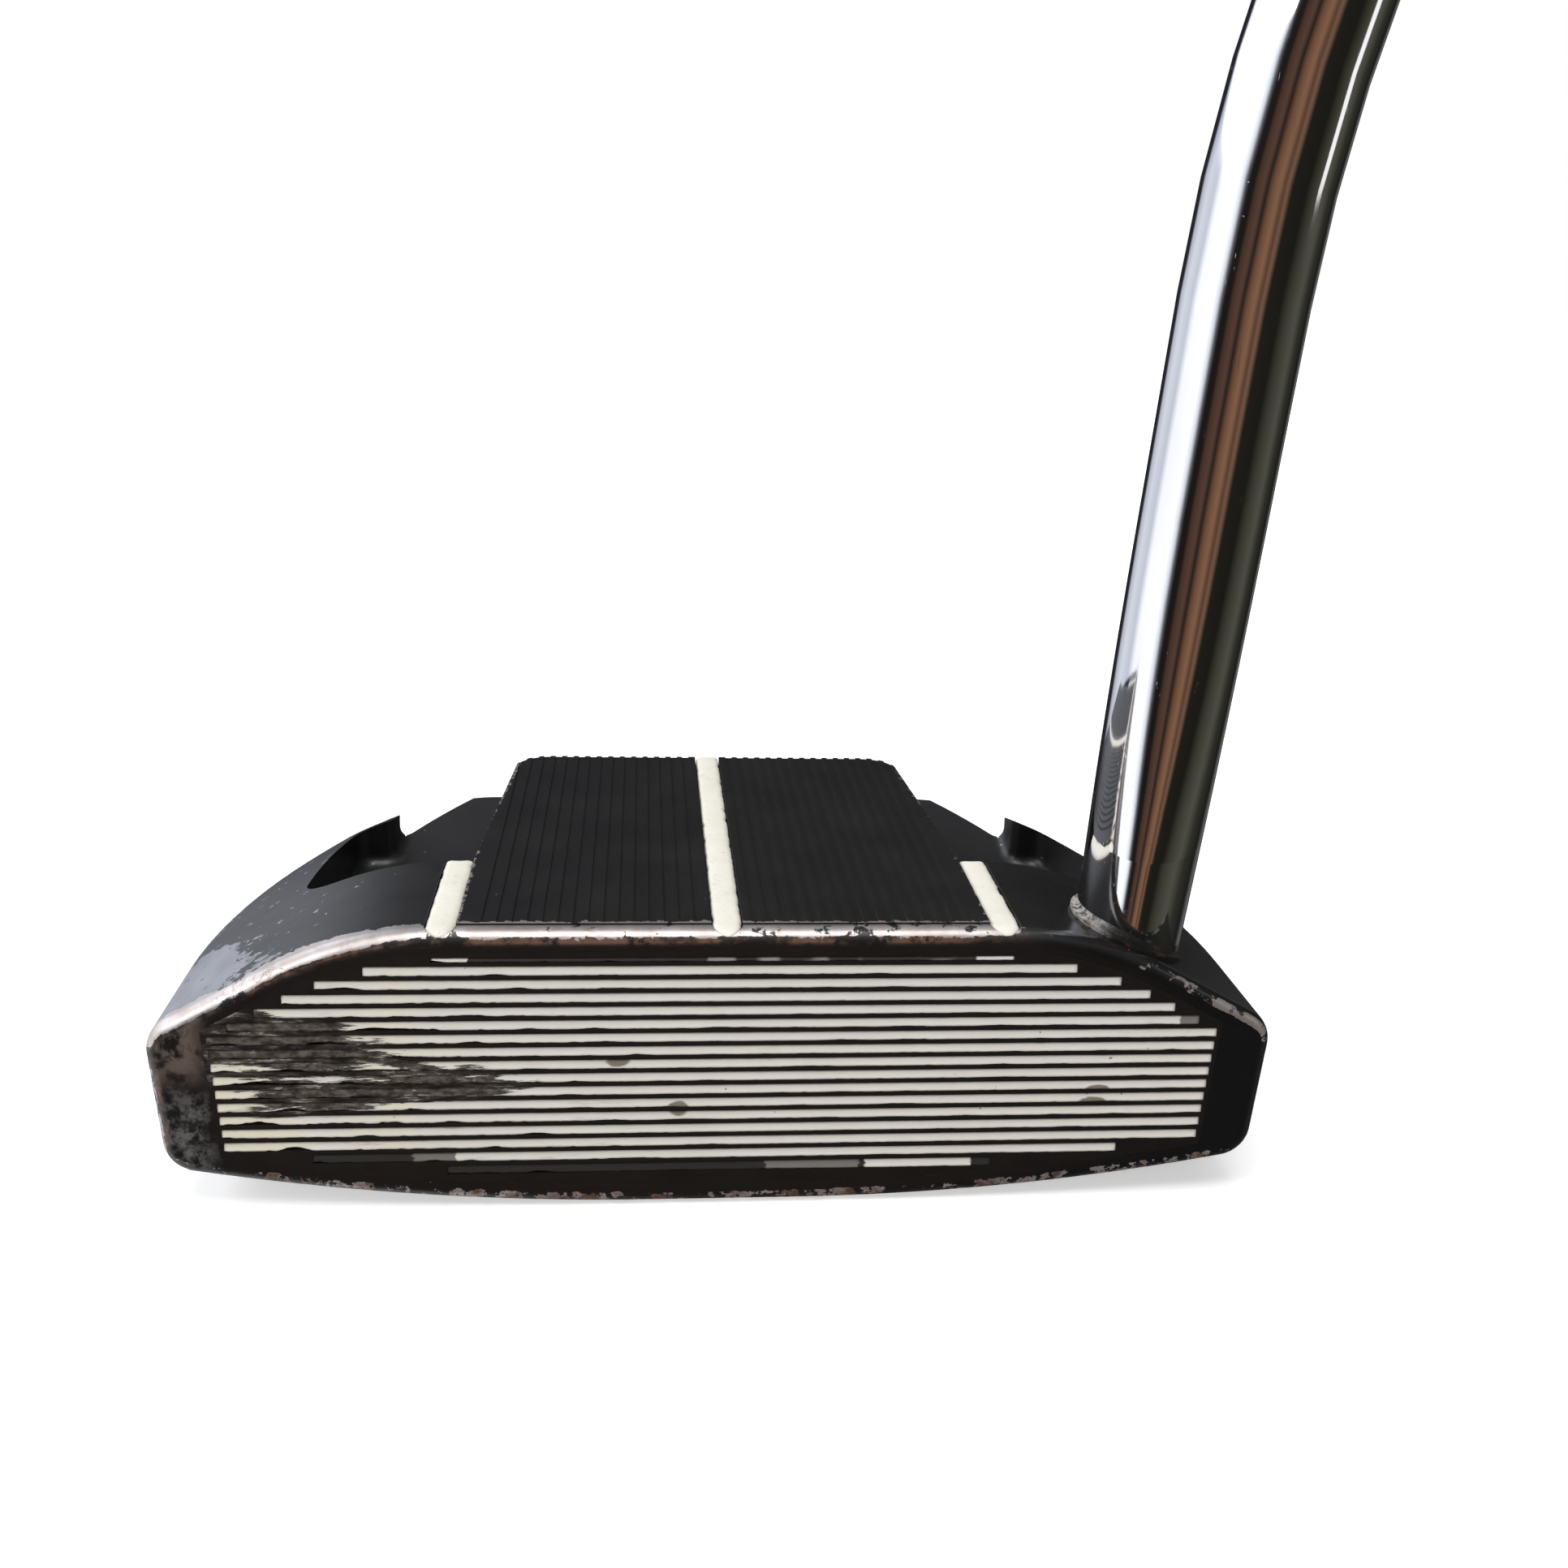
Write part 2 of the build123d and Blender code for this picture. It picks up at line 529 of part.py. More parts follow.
with BuildPart() as shaft_epoxy:
    with BuildSketch(BORE_PLANE.offset(BORE_DEPTH - BEAD_REACH)):
        Circle(TIP_RADIUS + BOND_GAP + BEAD_WIDTH)
    extrude(amount=BORE_CUT_LENGTH - BORE_DEPTH)
    add(bead_limit.part, mode=Mode.INTERSECT)
    add(head_blank.part, mode=Mode.SUBTRACT)
    add(bore_lining.part)
    with BuildSketch(BORE_PLANE):
        Circle(TIP_RADIUS)
    extrude(amount=BORE_CUT_LENGTH, mode=Mode.SUBTRACT)

# ---- grip -----------------------------------------------------------------------------------------------------
with BuildPart() as grip:
    for along, size in ((0, GRIP_LOW_SIZE), (GRIP_MIDDLE_SHARE, GRIP_MIDDLE_SIZE), (1, GRIP_BUTT_SIZE)):
        section_at = GRIP_START + (BUTT - GRIP_START) * along
        with BuildSketch(Plane(origin=section_at, x_dir=(0, 1, 0), z_dir=SHAFT_UP)):
            grip_section(size)
    loft()
    with BuildSketch(Plane(origin=GRIP_START - SHAFT_UP * CLEAR, z_dir=SHAFT_UP)):
        Circle(BUTT_RADIUS + GRIP_TAPE)
    extrude(amount=GRIP_LENGTH + 2 * CLEAR, mode=Mode.SUBTRACT)

with BuildPart() as grip_tape:
    with BuildSketch(Plane(origin=GRIP_START + SHAFT_UP * TAPE_INSET, z_dir=SHAFT_UP)):
        Circle(BUTT_RADIUS + GRIP_TAPE)
        Circle(BUTT_RADIUS, mode=Mode.SUBTRACT)
    extrude(amount=GRIP_LENGTH - CAP_THICKNESS - TAPE_INSET)

with BuildPart() as grip_end_cap:
    with BuildSketch(Plane(origin=BUTT, x_dir=(0, 1, 0), z_dir=SHAFT_UP)):
        grip_section(GRIP_BUTT_SIZE)
    extrude(amount=CAP_THICKNESS)
    cap_top = faces().sort_by(Axis(BUTT, SHAFT_UP))[-1]
    fillet(cap_top.edges(), CAP_EDGE_RADIUS)
    with BuildSketch(Plane(origin=BUTT, z_dir=SHAFT_UP)):
        Circle(BUTT_RADIUS - SHAFT_WALL)
    extrude(amount=-CAP_PLUG_LENGTH)
    with BuildSketch(Plane(origin=BUTT - SHAFT_UP * (CAP_PLUG_LENGTH + CLEAR), z_dir=SHAFT_UP)):
        Circle(VENT_RADIUS)
    extrude(amount=CAP_PLUG_LENGTH + CAP_THICKNESS + 2 * CLEAR, mode=Mode.SUBTRACT)

# ---- named nodes, one STEP each -------------------------------------------------------------------------------
nodes = {
    "head_body": head_body.part,
    "face_insert": face_insert.part,
    "insert_adhesive": insert_adhesive.part,
    "shaft": shaft.part,
    "shaft_epoxy": shaft_epoxy.part,
    "grip": grip.part,
    "grip_tape": grip_tape.part,
    "grip_end_cap": grip_end_cap.part,
}
for number, row in enumerate(GROOVES):
    nodes[f"groove_fill_{number:02d}"] = groove_fill(*row)
for name, (line_x, rear_depth) in ALIGNMENT_LINES.items():
    nodes[name] = alignment_line(line_x, rear_depth)

os.makedirs("parts", exist_ok=True)
for name, part in nodes.items():
    part.label = name
    export_step(part, f"parts/{name}.step")
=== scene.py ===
"""Looks of the mallet putter: worn black head, cream grooves and lines, chrome shaft, rubber grip."""
import math

import bpy
from mathutils import Matrix, Vector, noise


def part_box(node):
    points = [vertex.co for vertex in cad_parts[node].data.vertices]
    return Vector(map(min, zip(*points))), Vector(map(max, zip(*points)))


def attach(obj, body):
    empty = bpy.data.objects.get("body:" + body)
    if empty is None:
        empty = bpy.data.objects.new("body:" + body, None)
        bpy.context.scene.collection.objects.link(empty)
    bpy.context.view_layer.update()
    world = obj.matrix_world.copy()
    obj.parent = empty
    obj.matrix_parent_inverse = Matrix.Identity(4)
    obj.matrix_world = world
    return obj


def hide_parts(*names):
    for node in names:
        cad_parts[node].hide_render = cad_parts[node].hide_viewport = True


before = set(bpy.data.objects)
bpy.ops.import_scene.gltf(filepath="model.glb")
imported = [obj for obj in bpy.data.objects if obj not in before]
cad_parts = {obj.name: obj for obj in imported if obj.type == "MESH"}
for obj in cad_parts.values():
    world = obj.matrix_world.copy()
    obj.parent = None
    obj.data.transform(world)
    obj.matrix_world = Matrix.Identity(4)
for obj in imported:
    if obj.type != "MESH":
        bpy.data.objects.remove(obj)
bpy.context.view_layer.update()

MM = 0.001                 # metres; places and sizes are in millimetres unless a comment says metres
TOP_Z = Vector(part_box("head_body")[1]).z / MM
LOFT = math.radians(3.0)
FACE_MID_Y = -10.0
FACE_MID_Z = 12.55
EDGE_RADIUS = 1.4          # rounding between the face and the top


def face_y(z):
    """Where the lofted face is at height z."""
    return FACE_MID_Y + (z - FACE_MID_Z) * math.tan(LOFT)


# ---- node trees ----------------------------------------------------------------------------------
MIX_NUMBERS = (2, 3)       # input sockets of a Mix node for two numbers
MIX_COLORS = (6, 7)        # and for two colours
MIX_NUMBER_OUT = 0
MIX_COLOR_OUT = 2


class Tree:
    """Adds nodes to a material or a world. Each method returns the socket that has the result."""

    def __init__(self, owner):
        owner.use_nodes = True
        self.nodes = owner.node_tree.nodes
        self.links = owner.node_tree.links

    def put(self, socket, value):
        """Links a socket to another, or sets its own value."""
        if isinstance(value, bpy.types.NodeSocket):
            self.links.new(value, socket)
        elif socket.type == "RGBA" and len(value) == 3:
            socket.default_value = (*value, 1.0)
        else:
            socket.default_value = value

    def split(self, vector):
        node = self.nodes.new("ShaderNodeSeparateXYZ")
        self.put(node.inputs[0], vector)
        return node.outputs

    def calc(self, operation, *values):
        node = self.nodes.new("ShaderNodeMath")
        node.operation = operation
        for socket, value in zip(node.inputs, values):
            self.put(socket, value)
        return node.outputs[0]

    def chain(self, operation, terms):
        total = terms[0]
        for term in terms[1:]:
            total = self.calc(operation, total, term)
        return total

    def add(self, *terms):
        return self.chain("ADD", terms)

    def times(self, *terms):
        return self.chain("MULTIPLY", terms)

    def most(self, *terms):
        return self.chain("MAXIMUM", terms)

    def minus(self, a, b):
        return self.calc("SUBTRACT", a, b)

    def ramp(self, value, low, high, to_low=0.0, to_high=1.0):
        """Smooth step of value from low to high; low may be the larger one."""
        node = self.nodes.new("ShaderNodeMapRange")
        node.interpolation_type = "SMOOTHSTEP"
        if not isinstance(low, bpy.types.NodeSocket) and low > high:
            low, high, to_low, to_high = high, low, to_high, to_low
        for socket, item in zip(node.inputs, (value, low, high, to_low, to_high)):
            self.put(socket, item)
        return node.outputs[0]

    def band(self, value, low, high, soft):
        """1 between low and high, falling to 0 over soft on both sides."""
        return self.times(self.ramp(value, low - soft, low), self.ramp(value, high + soft, high))

    def mix(self, factor, a, b):
        """From colour a to colour b."""
        node = self.nodes.new("ShaderNodeMix")
        node.data_type = "RGBA"
        self.put(node.inputs[0], factor)
        for index, color in zip(MIX_COLORS, (a, b)):
            self.put(node.inputs[index], color)
        return node.outputs[MIX_COLOR_OUT]

    def blend(self, factor, a, b):
        """From number a to number b."""
        node = self.nodes.new("ShaderNodeMix")
        self.put(node.inputs[0], factor)
        for index, number in zip(MIX_NUMBERS, (a, b)):
            self.put(node.inputs[index], number)
        return node.outputs[MIX_NUMBER_OUT]

    def color_stops(self, share, stops):
        """Straight blends between stops (position, colour), positions rising from 0 to 1."""
        node = self.nodes.new("ShaderNodeValToRGB")
        self.put(node.inputs[0], share)
        elements = node.color_ramp.elements
        elements.remove(elements[-1])
        for index, (position, color) in enumerate(stops):
            element = elements[0] if index == 0 else elements.new(position)
            element.position = position
            element.color = (*color, 1.0)
        return node.outputs["Color"]

    def curve(self, value, points):
        """Straight lines through points (value, result), values rising."""
        low, high = points[0][0], points[-1][0]
        floor = min(result for _, result in points)
        reach = max(result for _, result in points) - floor
        stops = [((place - low) / (high - low), [(result - floor) / reach] * 3)
                 for place, result in points]
        share = self.calc("DIVIDE", self.minus(value, low), high - low)
        return self.calc("MULTIPLY_ADD", self.split(self.color_stops(share, stops))[0], reach, floor)


class Shader(Tree):
    """A procedural material, with the place (x, y, z) and the surface's direction (nx, ny, nz)."""

    def __init__(self, name):
        self.material = bpy.data.materials.new(name)
        super().__init__(self.material)
        self.surface = self.nodes["Principled BSDF"]
        scale = self.nodes.new("ShaderNodeVectorMath")
        scale.operation = "SCALE"
        scale.inputs["Scale"].default_value = 1 / MM
        self.put(scale.inputs[0], self.nodes.new("ShaderNodeTexCoord").outputs["Object"])
        self.at = scale.outputs[0]
        self.x, self.y, self.z = self.split(self.at)
        normal = self.nodes.new("ShaderNodeNewGeometry").outputs["Normal"]
        self.nx, self.ny, self.nz = self.split(normal)

    def stretched(self, sx, sy, sz):
        """The place times (sx, sy, sz): under 1 makes features longer that way."""
        node = self.nodes.new("ShaderNodeVectorMath")
        node.operation = "MULTIPLY"
        self.put(node.inputs[0], self.at)
        node.inputs[1].default_value = (sx, sy, sz)
        return node.outputs[0]

    def noise(self, size, detail=4.0, roughness=0.55, vector=None, distortion=0.0):
        """Noise from 0 to 1 with features about size wide."""
        node = self.nodes.new("ShaderNodeTexNoise")
        self.put(node.inputs["Vector"], vector or self.at)
        node.inputs["Scale"].default_value = 1 / size
        node.inputs["Detail"].default_value = detail
        node.inputs["Roughness"].default_value = roughness
        node.inputs["Distortion"].default_value = distortion
        return node.outputs["Fac"]

    def cells(self, size):
        """Distance to the nearest of points about size apart, in cells."""
        node = self.nodes.new("ShaderNodeTexVoronoi")
        self.put(node.inputs["Vector"], self.at)
        node.inputs["Scale"].default_value = 1 / size
        return node.outputs["Distance"]

    def jagged(self, grain, contrast):
        """The grain about its middle, to add to a mask whose edge it breaks up."""
        return self.times(self.minus(grain, 0.5), contrast)

    def bump(self, height, depth_mm):
        node = self.nodes.new("ShaderNodeBump")
        node.inputs["Strength"].default_value = 1.0
        node.inputs["Distance"].default_value = depth_mm * MM
        self.put(node.inputs["Height"], height)
        return node.outputs["Normal"]

    def finish(self, color, roughness, metallic=0.0, normal=None, **constants):
        self.put(self.surface.inputs["Base Color"], color)
        self.put(self.surface.inputs["Roughness"], roughness)
        self.put(self.surface.inputs["Metallic"], metallic)
        if normal is not None:
            self.put(self.surface.inputs["Normal"], normal)
        for name, value in constants.items():
            self.surface.inputs[name.replace("_", " ")].default_value = value
        return self.material


# ---- the head's material -------------------------------------------------------------------------
# how worn the front edge is, from toe to heel: (x, share of the paint that has gone)
EDGE_WEAR = ((-48.0, 0.95), (-29.0, 0.9), (-24.0, 0.72), (22.0, 0.66), (25.5, 0.3), (30.0, 0.12),
             (48.0, 0.12))
FLAT_WEAR = ((-48.0, 0.0), (-31.0, 0.4), (-27.0, 1.0), (23.5, 0.9), (25.0, 0.0), (48.0, 0.0))
HEEL_WEAR = ((32.0, 0.0), (36.5, 0.5), (41.0, 0.8), (46.8, 0.9), (48.5, 0.4))
# how strongly each zone of wear counts
TOP_BAND_SHARE = 0.86
FLAT_SHARE = 0.72
HEEL_CHIP_SHARE = 0.75
TOE_EDGE_SHARE = 0.55
HEEL_EDGE_SHARE = 0.22
LOWER_EDGE_SHARE = 0.47

PLATEAU_HALF = 22.25       # half width of the plateau at its front, and what it loses towards the back
PLATEAU_TAPER = 1.9
PLATEAU_TAPER_RANGE = (16.8, 47.6)
TOE_SIDE_RUB = 0.6         # how rubbed the plateau's two side edges are
HEEL_SIDE_RUB = 0.36

PAINT_DARK = (0.0075, 0.0075, 0.0085)
PAINT_LIGHT = (0.018, 0.0175, 0.0175)
PAINT_ON_FACE = (0.002, 0.002, 0.002)
BRONZE = (0.115, 0.062, 0.040)
TOE_BROWN = (0.095, 0.068, 0.055)
TOE_GREY = (0.105, 0.105, 0.10)
TOE_SIDE_GREY = (0.12, 0.12, 0.125)
STEEL_DARK = (0.36, 0.31, 0.295)
STEEL_LIGHT = (0.80, 0.74, 0.72)
RUST = (0.23, 0.13, 0.09)
HALF_WORN_DARK = (0.17, 0.175, 0.20)
HALF_WORN_LIGHT = (0.42, 0.43, 0.47)
CHIP_COLOR = (0.34, 0.33, 0.33)


class HeadShader(Shader):
    """Adds what the head's zones share: depth behind the face, how far it faces forwards, and grain."""

    def __init__(self, name):
        super().__init__(name)
        face = self.add(FACE_MID_Y, self.times(self.minus(self.z, FACE_MID_Z), math.tan(LOFT)))
        self.depth = self.minus(self.y, face)
        self.front = self.times(self.ny, -1.0)
        self.chips = self.noise(1.1, 6.0, 0.7)
        self.blotch = self.noise(4.5, 5.0, 0.65, distortion=0.6)
        self.near_face = self.ramp(self.depth, 2.6, 1.6)
        self.upper_edge, self.lower_edge, self.toe_edge, self.heel_edge = self.front_edges()

    def front_edges(self):
        rounded = self.times(self.ramp(self.front, 0.02, 0.25), self.ramp(self.front, 0.99, 0.70),
                             self.near_face)
        upper = self.times(rounded, self.ramp(self.nz, 0.05, 0.3))
        lower = self.times(self.ramp(self.nz, 0.03, -0.14), self.ramp(self.front, 0.02, 0.2),
                           self.near_face)
        toe = self.times(rounded, self.ramp(self.nx, -0.45, -0.7))
        heel = self.times(rounded, self.ramp(self.nx, 0.45, 0.7))
        return upper, lower, toe, heel


def bare_edges(s):
    """Where the paint has gone from the front edge and bare metal shows."""
    flat_front = s.times(s.ramp(s.nz, 0.5, 0.8), s.curve(s.x, FLAT_WEAR), s.ramp(s.depth, 2.6, 1.5))
    top_band = s.times(s.ramp(s.depth, 3.4, 1.2), s.ramp(s.nz, 0.3, 0.6), s.ramp(s.x, -26.0, -30.0))
    heel_chips = s.times(s.ramp(s.front, 0.995, 0.93), s.ramp(s.front, 0.35, 0.62),
                         s.ramp(s.nz, 0.03, 0.12), s.curve(s.x, HEEL_WEAR))
    worn = s.most(
        s.times(s.upper_edge, s.curve(s.x, EDGE_WEAR)),
        s.times(top_band, TOP_BAND_SHARE),
        s.times(flat_front, FLAT_SHARE),
        s.times(heel_chips, HEEL_CHIP_SHARE),
        s.times(s.toe_edge, TOE_EDGE_SHARE),
        s.times(s.heel_edge, HEEL_EDGE_SHARE),
        s.times(s.lower_edge, LOWER_EDGE_SHARE),
    )
    grain = s.add(s.times(s.chips, 0.55), s.times(s.blotch, 0.45))
    return s.times(s.ramp(s.add(worn, s.jagged(grain, 2.6)), 0.48, 0.54), s.ramp(worn, 0.03, 0.12))


def toe_patches(s):
    """Grey-blue, half-worn patches on top of the toe."""
    zone = s.times(s.ramp(s.add(s.x, s.times(s.depth, 0.32)), -34.5, -41.0), s.ramp(s.depth, 17.0, 9.0),
                   s.ramp(s.nz, 0.3, 0.5))
    grain = s.times(s.add(s.blotch, s.chips), 0.5)
    ragged = s.add(s.times(zone, 1.1), s.jagged(grain, 5.5))
    return s.times(s.ramp(ragged, 0.5, 0.56), s.ramp(zone, 0.02, 0.1))


def plateau_rub(s):
    """The thin silver line where the plateau's side edges rub."""
    edge_x = s.minus(PLATEAU_HALF, s.times(s.ramp(s.depth, *PLATEAU_TAPER_RANGE), PLATEAU_TAPER))
    off_edge = s.calc("ABSOLUTE", s.minus(s.calc("ABSOLUTE", s.x), edge_x))
    amount = s.blend(s.ramp(s.x, -1.0, 1.0), TOE_SIDE_RUB, HEEL_SIDE_RUB)
    rub = s.times(s.ramp(off_edge, 0.55, 0.1), s.ramp(s.z, TOP_Z - 1.2, TOP_Z - 0.5), amount)
    return s.times(s.ramp(s.add(rub, s.jagged(s.chips, 2.4)), 0.5, 0.58), s.ramp(rub, 0.02, 0.1))


def fine_chips(s):
    """Sparse fine chips all over, more of them on the wings' crowns and the toe's top."""
    crown = s.times(s.ramp(s.calc("ABSOLUTE", s.nx), 0.3, 0.6), s.ramp(s.nz, 0.2, 0.5),
                    s.ramp(s.depth, 8.0, 14.0))
    crown = s.most(crown, s.times(s.ramp(s.x, -26.0, -34.0), s.ramp(s.nz, 0.4, 0.7), 0.8))
    return s.ramp(s.noise(1.2, 4.0, 0.7), s.blend(crown, 0.72, 0.615), s.blend(crown, 0.75, 0.65))


def stained_paint(s):
    """Black paint, with bronze under the front edge and brown and grey stains at the toe."""
    paint = s.mix(s.noise(7.0, 4.0), PAINT_DARK, PAINT_LIGHT)
    paint = s.mix(s.times(s.ramp(s.front, 0.8, 0.97), 0.7), paint, PAINT_ON_FACE)
    under_edge = s.times(s.ramp(s.front, 0.45, 0.75), s.ramp(s.front, 0.998, 0.93),
                         s.ramp(s.nz, -0.05, 0.02), s.near_face)
    bronze = s.times(under_edge, s.ramp(s.x, 27.0, 16.0), s.ramp(s.blotch, 0.42, 0.56),
                     s.ramp(s.chips, 0.36, 0.52))
    paint = s.mix(s.times(bronze, 0.85), paint, BRONZE)
    toe_face = s.times(s.ramp(s.front, 0.9, 0.985),
                       s.ramp(s.add(s.x, s.times(s.blotch, 3.0)), -40.0, -42.5))
    brown = s.times(toe_face, s.ramp(s.z, 11.0, 14.0),
                    s.ramp(s.add(s.blotch, s.times(s.chips, 0.5)), 0.62, 0.8))
    paint = s.mix(s.times(brown, 0.9), paint, TOE_BROWN)
    grey = s.times(toe_face, s.ramp(s.z, 13.0, 9.0), s.ramp(s.noise(1.4, 6.0, 0.75), 0.44, 0.62))
    paint = s.mix(s.times(grey, 0.75), paint, TOE_GREY)
    toe_side = s.times(s.ramp(s.nx, -0.3, -0.75), s.ramp(s.noise(1.6, 5.0, 0.7), 0.45, 0.62),
                       s.ramp(s.depth, 7.0, 0.0))
    return s.mix(s.times(toe_side, 0.7), paint, TOE_SIDE_GREY)


def bare_steel(s, grain):
    """Bare metal, rusty along the lower edge."""
    rust = s.times(s.ramp(s.blotch, 0.48, 0.62),
                   s.add(s.times(s.lower_edge, 0.95), s.times(s.upper_edge, 0.25)))
    return s.mix(rust, s.mix(grain, STEEL_DARK, STEEL_LIGHT), RUST)


def worn_black_head():
    """Satin black paint, worn to bare metal along the front edge and at the toe."""
    s = HeadShader("worn_black_head")
    patches = toe_patches(s)
    specks = fine_chips(s)
    metal = s.most(bare_edges(s), plateau_rub(s))
    grain = s.noise(2.2, 5.0, 0.6, s.stretched(1.0, 0.35, 1.0))
    color = s.mix(patches, stained_paint(s), s.mix(grain, HALF_WORN_DARK, HALF_WORN_LIGHT))
    color = s.mix(specks, color, CHIP_COLOR)
    color = s.mix(metal, color, bare_steel(s, grain))
    metallic = s.most(s.times(metal, 0.85), s.times(patches, 0.6))
    glossy_heel = s.times(s.ramp(s.x, 22.0, 32.0), s.ramp(s.depth, 16.0, 10.0))
    paint_rough = s.blend(glossy_heel, s.add(0.27, s.times(s.noise(5.0, 4.0), 0.2)), 0.17)
    rough = s.blend(metal, s.blend(patches, paint_rough, 0.38), s.add(0.30, s.times(s.chips, 0.22)))
    streak = s.noise(1.0, 5.0, 0.6, s.stretched(0.25, 1.0, 1.0))
    height = s.add(
        s.times(s.noise(0.35, 3.0, 0.6), 0.05), s.times(s.ramp(streak, 0.7, 0.76), -0.15),
        s.times(metal, -0.75), s.times(specks, -0.3), s.times(patches, -0.25),
    )
    return s.finish(color, rough, metallic, s.bump(height, 0.09), IOR=1.5)


# ---- the face's materials ------------------------------------------------------------------------
# the scuffed patch at the toe end of the face: (height, x where it starts), (height, x where it ends)
SCUFF_START = ((9.0, -36.5), (9.8, -36.5), (11.0, -38.9), (12.4, -41.0), (13.2, -44.0), (19.5, -44.0))
SCUFF_END = ((8.3, -46.0), (9.2, -33.0), (10.4, -22.5), (11.6, -17.5), (12.8, -21.0), (13.4, -23.5),
             (14.6, -28.5), (15.8, -31.0), (17.0, -33.0), (18.2, -38.5), (19.3, -46.0))
SCUFF_SOFT = 4.0

ROW_PITCH = 1.2            # between the grooves
ROW_PHASE = 22.2 + 24.0    # a row's top, a whole number of pitches above the face
# dark spots on the strips: x, z, half width, half height
DIRT_SPOTS = (
    (32.3, 10.6, 1.1, 0.34),
    (31.9, 9.4, 1.2, 0.42),
    (-9.0, 13.6, 1.0, 0.5),
    (-3.9, 9.2, 0.9, 0.7),
)
# rows that are black over part of their length: height, bright from, bright to, dim from, dim to
PARTIAL_ROWS = (
    (3.78, 12.9, 22.0, 4.3, 12.2),
    (4.98, -21.9, 40.0, -25.4, -22.0),
    (16.98, -44.0, 39.5, 39.5, 44.0),
)
ROW_HALF = 0.45
DIM_SHARE = 0.22
TOP_ROW_Z = 22.45          # the narrow top row shows only in a few places

PLATE_DARK = (0.003, 0.0028, 0.0026)
PLATE_LIGHT = (0.008, 0.0065, 0.0055)
PLATE_BROWN = (0.055, 0.042, 0.034)
PLATE_STREAK = (0.26, 0.24, 0.22)
POLYMER_DARK = (0.52, 0.495, 0.45)
POLYMER_LIGHT = (0.61, 0.59, 0.54)
POLYMER_HIGH_UP = (0.48, 0.48, 0.47)
# painted shade for the upper edge of each strip
POLYMER_PAINTED_SHADE = (0.34, 0.33, 0.30)
POLYMER_YELLOW = (0.55, 0.52, 0.36)
SCUFF_DARK = (0.020, 0.015, 0.012)
SCUFF_LIGHT = (0.10, 0.085, 0.07)
SCUFF_GLINT = (0.36, 0.34, 0.31)
GRIME = (0.33, 0.29, 0.22)
LOWER_TOE_GRIME = (0.16, 0.13, 0.09)
PIT_COLOR = (0.05, 0.04, 0.03)
SPOT_COLOR = (0.085, 0.065, 0.035)
BARE_ROW = (0.005, 0.0045, 0.004)


def scuffed_rows(s):
    """1 inside the patch that scuffs have left at the toe end of the face."""
    past_start = s.ramp(s.minus(s.x, s.curve(s.z, SCUFF_START)), -SCUFF_SOFT, SCUFF_SOFT)
    before_end = s.ramp(s.minus(s.x, s.curve(s.z, SCUFF_END)), SCUFF_SOFT, -SCUFF_SOFT)
    return s.times(past_start, before_end)


def insert_metal():
    """The dark plate between the grooves, browned and scuffed at the toe."""
    s = Shader("insert_metal")
    toe = scuffed_rows(s)
    scuff = s.noise(0.8, 6.0, 0.75, s.stretched(0.22, 1.0, 1.0))
    color = s.mix(s.noise(3.0, 4.0), PLATE_DARK, PLATE_LIGHT)
    color = s.mix(s.times(toe, s.ramp(scuff, 0.42, 0.6), 0.8), color, PLATE_BROWN)
    color = s.mix(s.times(s.ramp(scuff, 0.56, 0.64), toe, 0.8), color, PLATE_STREAK)
    rough = s.add(0.4, s.times(scuff, 0.3))
    return s.finish(color, rough, 0.0, s.bump(scuff, 0.05), IOR=1.45)


def polymer_with_painted_shade(s):
    """Light polymer: greyer high up, with painted shade along each strip's upper edge, yellowish
    towards the toe.
    """
    base = s.mix(s.noise(9.0, 3.0), POLYMER_DARK, POLYMER_LIGHT)
    base = s.mix(s.ramp(s.z, 12.0, 23.0, 0.0, 0.4), base, POLYMER_HIGH_UP)
    row = s.calc("FRACT", s.calc("DIVIDE", s.minus(ROW_PHASE, s.z), ROW_PITCH))
    # painted shade: each strip is greyer along its upper edge, standing in for the shadow of the rib
    # above
    base = s.mix(s.ramp(row, 0.62, 0.02, 0.0, 0.55), base, POLYMER_PAINTED_SHADE)
    yellow = s.times(s.ramp(s.x, -5.0, -40.0), s.ramp(s.noise(6.0, 3.0), 0.4, 0.65), 0.55)
    return s.mix(yellow, base, POLYMER_YELLOW)


def scuff_color(s, fine):
    """Dirt in the scuffed patch, with glints of what is under it."""
    dirt = s.mix(s.ramp(fine, 0.35, 0.7), SCUFF_DARK, SCUFF_LIGHT)
    glints = s.times(s.ramp(s.noise(0.7, 5.0, 0.8, s.stretched(0.3, 1.0, 1.0)), 0.6, 0.7), 0.7)
    return s.mix(glints, dirt, SCUFF_GLINT)


def scuff_patch(s, streak):
    """The scuffed patch with ragged, streaky edges."""
    inside = scuffed_rows(s)
    coarse = s.noise(4.0, 3.0, 0.6, s.stretched(0.3, 1.0, 1.3))
    ragged = s.add(s.jagged(streak, 4.5), s.jagged(coarse, 4.0))
    return s.times(s.ramp(s.add(inside, ragged), 0.42, 0.6), s.ramp(inside, 0.01, 0.12))


def dirt_spots(s, color, fine):
    for x, z, wide, high in DIRT_SPOTS:
        across = s.calc("POWER", s.calc("DIVIDE", s.minus(s.x, x), wide), 2.0)
        up = s.calc("POWER", s.calc("DIVIDE", s.minus(s.z, z), high), 2.0)
        spot = s.ramp(s.add(across, up, s.times(fine, 1.2)), 1.9, 1.2)
        color = s.mix(s.times(spot, 0.85), color, SPOT_COLOR)
    return color


